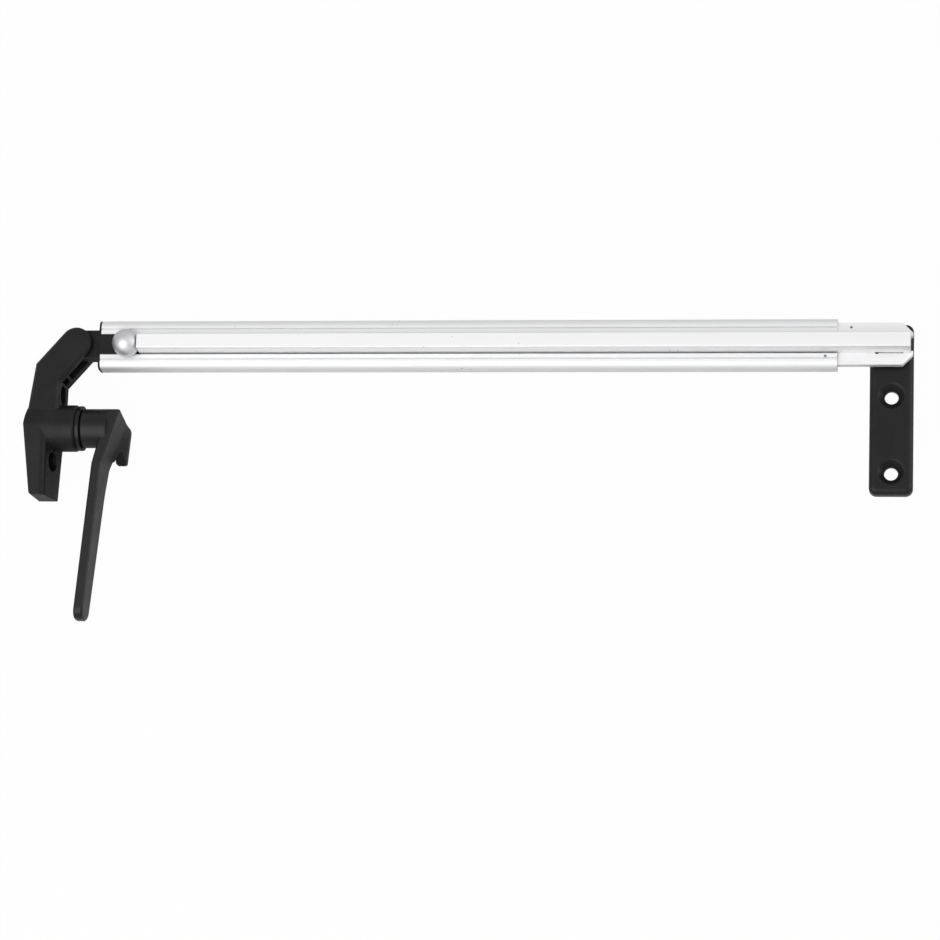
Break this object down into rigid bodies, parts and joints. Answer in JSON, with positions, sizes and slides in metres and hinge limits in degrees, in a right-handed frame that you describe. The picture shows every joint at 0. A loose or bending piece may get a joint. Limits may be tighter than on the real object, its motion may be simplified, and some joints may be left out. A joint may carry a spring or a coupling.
{
  "type": "flap stay",
  "caption": "Telescopic aluminium flap stay with a frame bracket, a sliding bar with a ball knob, and a hinged flap bracket with a catch lever.",
  "frame": {"origin": "midway between the two frame screw holes, on the face of the frame bracket that meets the frame", "axes": "+X along the bars from the flap bracket to the frame bracket, +Y up the frame bracket to its pivot, +Z out of the frame towards the countersinks"},
  "size_m": [0.2898, 0.1005, 0.0237],
  "materials": {
    "black_plastic": "satin moulded",
    "lever_plastic": "satin moulded",
    "inner_aluminium": "bright extruded",
    "outer_aluminium": "bright extruded",
    "ball_silver": "satin polished",
    "steel": "zinc plated",
    "bush_plastic": "moulded acetal",
    "seal_rubber": "smooth"
  },
  "bodies": {
    "frame": {"frame_bracket": "black_plastic", "pivot_bush": "bush_plastic"},
    "inner": {"inner_bar": "inner_aluminium", "pivot_screw": "steel", "pivot_washer": "steel", "brake_spring": "steel"},
    "plunger": {"ball_knob": "ball_silver", "knob_stem": "steel", "brake_shoe": "black_plastic"},
    "outer": {"outer_bar": "outer_aluminium", "end_plug": "black_plastic", "plug_pin": "steel"},
    "flap": {"flap_bracket": "black_plastic", "hinge_pin": "steel", "boss_bush": "bush_plastic", "seal_ring": "seal_rubber", "wave_washer": "steel"},
    "lever": {"catch_lever": "lever_plastic", "lever_washer": "steel", "lever_screw": "steel"}
  },
  "joints": [
    {"name": "frame_pivot", "type": "hinge", "parent": "frame", "child": "inner", "pos_m": [0, 0.0286, 0.0055], "axis": [0, 0, 1], "range_deg": [-45, 90]},
    {"name": "bar_slide", "type": "slide", "parent": "inner", "child": "outer", "axis": [-1, 0, 0], "range_m": [0, 0.165]},
    {"name": "knob_press", "type": "slide", "parent": "inner", "child": "plunger", "axis": [0, 0, -1], "range_m": [0, 0.0005], "stiffness_N_per_m": 3000, "springref_m": -0.001, "deforming": ["brake_spring"]},
    {"name": "flap_pivot", "type": "hinge", "parent": "outer", "child": "flap", "pos_m": [-0.2674, 0.0286, 0.008], "axis": [0, 0, 1], "range_deg": [-90, 36]},
    {"name": "lever_turn", "type": "hinge", "parent": "flap", "child": "lever", "pos_m": [-0.2656, 0.0006, 0.008], "axis": [1, 0, 0], "range_deg": [-90, 0]}
  ]
}
